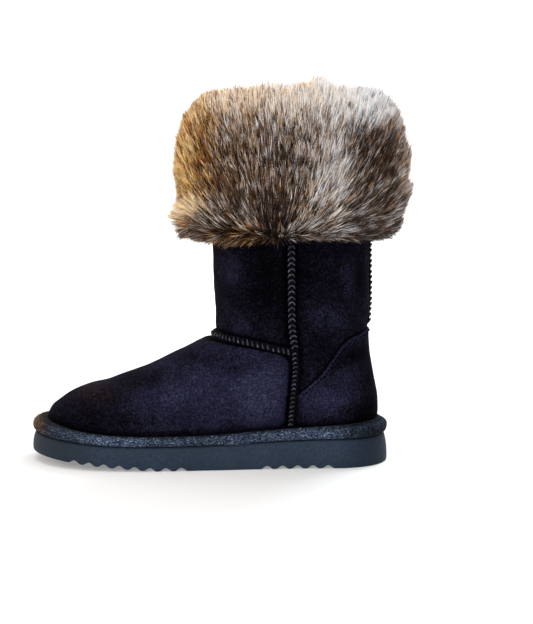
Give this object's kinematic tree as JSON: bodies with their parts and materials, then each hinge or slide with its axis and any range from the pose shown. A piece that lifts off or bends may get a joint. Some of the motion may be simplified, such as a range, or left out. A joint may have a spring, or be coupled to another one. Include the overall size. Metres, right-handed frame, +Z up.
{
  "type": "winter boot",
  "caption": "Pull-on suede winter boot on a flat foam sole with a wrapped platform, its tall shaft folded down into a deep fur cuff.",
  "frame": {"origin": "on the floor, on the sole's flat underside, halfway along the sole and on its middle line", "axes": "+Z up; -X towards the toe; -Y towards the outer side of the foot"},
  "size_m": [0.301, 0.1746, 0.2974],
  "materials": {
    "sole_foam": "matt moulded foam rubber",
    "wrap_binding": "napped strip, flecked",
    "pile_lining": "short dense pile",
    "suede": "napped suede",
    "seam_thread": "whip-stitched thread over suede",
    "fur": "long dense fur"
  },
  "bodies": {
    "root": {"outsole": "sole_foam", "platform_wrap": "wrap_binding", "insole": "pile_lining", "upper": "suede", "heel_counter": "suede", "ankle_seam": "seam_thread", "side_seam_outer": "seam_thread", "side_seam_inner": "seam_thread", "back_seam": "seam_thread", "fur_cuff": "fur", "cuff_binding": "wrap_binding"}
  },
  "joints": []
}
